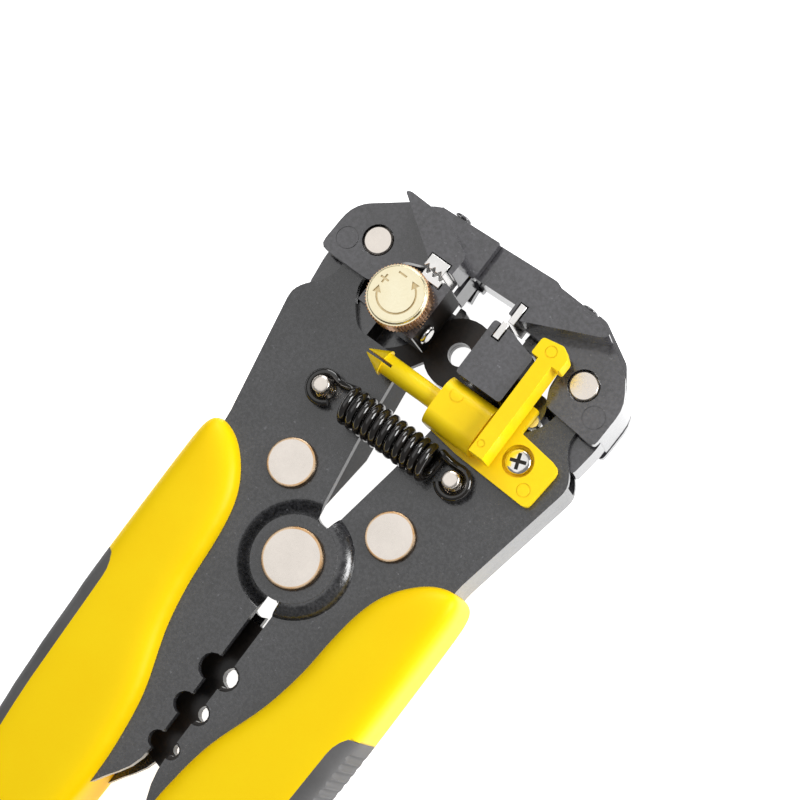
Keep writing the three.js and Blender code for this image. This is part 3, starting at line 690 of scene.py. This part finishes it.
bracket = fromCad("stop_bracket", "stopBracket")
pick(bracket, "EDGE", alongSleeve)
bpy.ops.mesh.bevel(offset=stopShape["sleeveRound"] * mm, segments=8, profile=0.5)
bpy.ops.object.mode_set(mode="OBJECT")
softenEdges(bracket, stopShape["edge"], 3)
ringMark(bracket, *stopShape["baseMark"])
ringMark(bracket, *stopShape["sleeveMark"])
shade(bracket)
finishPiece(bracket, ["stop_bracket"], "right_half", "stopYellow")
slider = fromCad("stop_slider", "stopSlider")
softenEdges(slider, stopShape["edge"], 3, 40)
ringMark(slider, *stopShape["headMark"])
ringMark(slider, *stopShape["armMark"])
shade(slider)
finishPiece(slider, ["stop_slider"], "stop_slider", "stopYellow")
screwShape = {"x": 27.5, "y": 46.9, "arm": 1.9, "half": 0.42, "floor": 8.9, "deep": 9.4}
screwProfile = [(1.3, 5.1), (1.3, 8.4), (2.9, 8.4), (3.0, 8.5), (3.0, 9.1), (2.85, 9.35), (2.5, 9.55),
                (1.6, 9.66), (0.6, 9.7)]
screw = turnPiece("stopScrew", screwShape["x"], screwShape["y"], screwProfile, 48)
for turn in (20, 110):
    # two crossed slots make the driver recess
    deselectAll()
    bpy.ops.mesh.primitive_cube_add(
        size=1, rotation=(0, 0, math.radians(turn)),
        location=(screwShape["x"] * mm, screwShape["y"] * mm, (midHeight + screwShape["floor"] + 1) * mm),
        scale=(2 * screwShape["arm"] * mm, 2 * screwShape["half"] * mm, 2 * mm))
    cutAway(screw, settled())
coat(screw, "brightSteel")
# the driver recess takes the dark finish: painted shade in the recess
screw.data.materials.append(finishes["innerSteel"])
for polygon in screw.data.polygons:
    across = math.hypot(polygon.center.x / mm - screwShape["x"], polygon.center.y / mm - screwShape["y"])
    deep = polygon.center.z / mm - midHeight < screwShape["deep"]
    polygon.material_index = 1 if across < screwShape["arm"] + 0.1 and deep else 0
shade(screw, 35)
finishPiece(screw, ["stop_screw"], "right_half", None)
print("length stop moulded")

# the pieces inside the channels keep their shapes
for node, finish in (("left_cutter_plate", "innerSteel"), ("right_cutter_plate", "innerSteel"),
                     ("left_crimp_die", "innerSteel"), ("right_crimp_die", "innerSteel"),
                     ("front_pivot_spacer", "warmSteel"), ("back_pivot_spacer", "warmSteel"),
                     ("tension_screw", "brightSteel"), ("stop_stud", "paleBrass")):
    bpy.data.objects[node].material_slots[0].material = finishes[finish]
print("inner pieces finished")


def addCamera():
    place = Vector(view["place"])
    back = (place - Vector(view["lookAt"])).normalized()
    upAngle = math.radians(view["upAngle"])
    right = Vector((math.cos(upAngle), math.sin(upAngle), 0)).cross(back).normalized()
    up = back.cross(right)
    turn = Matrix((right, up, back)).transposed().to_4x4()
    cameraData = bpy.data.cameras.new("camera")
    cameraData.lens = view["lens"]
    cameraData.sensor_width = view["sensor"]
    camera = bpy.data.objects.new("camera", cameraData)
    camera.matrix_world = Matrix.Translation(place) @ turn
    bpy.context.scene.collection.objects.link(camera)
    bpy.context.scene.camera = camera


def addLight(place, aim, size, power):
    deselectAll()
    bpy.ops.object.light_add(type="AREA", location=place)
    light = bpy.context.object
    light.data.size = size
    light.data.energy = power
    light.rotation_euler = (Vector(place) - Vector(aim)).to_track_quat("Z", "Y").to_euler()


addCamera()
deselectAll()
bpy.ops.mesh.primitive_plane_add(size=6, location=(0, 0, 0))
floor = bpy.context.object
floor.name = "floor"
paper = bpy.data.materials.new("paper")
paper.use_nodes = True
paperInputs = paper.node_tree.nodes["Principled BSDF"].inputs
for name, value in (("Base Color", (0.93, 0.93, 0.93, 1)), ("Roughness", 0.9),
                    ("Emission Color", (1, 1, 1, 1)), ("Emission Strength", 1.0)):
    paperInputs[name].default_value = value
floor.data.materials.append(paper)
# softboxes overhead, on the right and beyond the jaws
sight = Vector(view["place"]) - Vector(view["lookAt"])
overhead = Vector(view["lookAt"]) + Vector((-sight.x, -sight.y, sight.z * 1.15))
for place, aim, size, power in ((overhead, view["lookAt"], 0.62, 1.0),
                                ((0.60, 0.42, 0.36), (0, 0.03, 0), 0.40, 6.0),
                                ((-0.35, 0.80, 0.55), (0, 0.03, 0), 0.50, 4.0)):
    addLight(place, aim, size, power)
world = bpy.data.worlds.new("studio")
bpy.context.scene.world = world
world.use_nodes = True
world.node_tree.nodes["Background"].inputs["Color"].default_value = (1, 1, 1, 1)
world.node_tree.nodes["Background"].inputs["Strength"].default_value = 0.22
bpy.context.scene.view_settings.view_transform = "Standard"
print("scene lit")
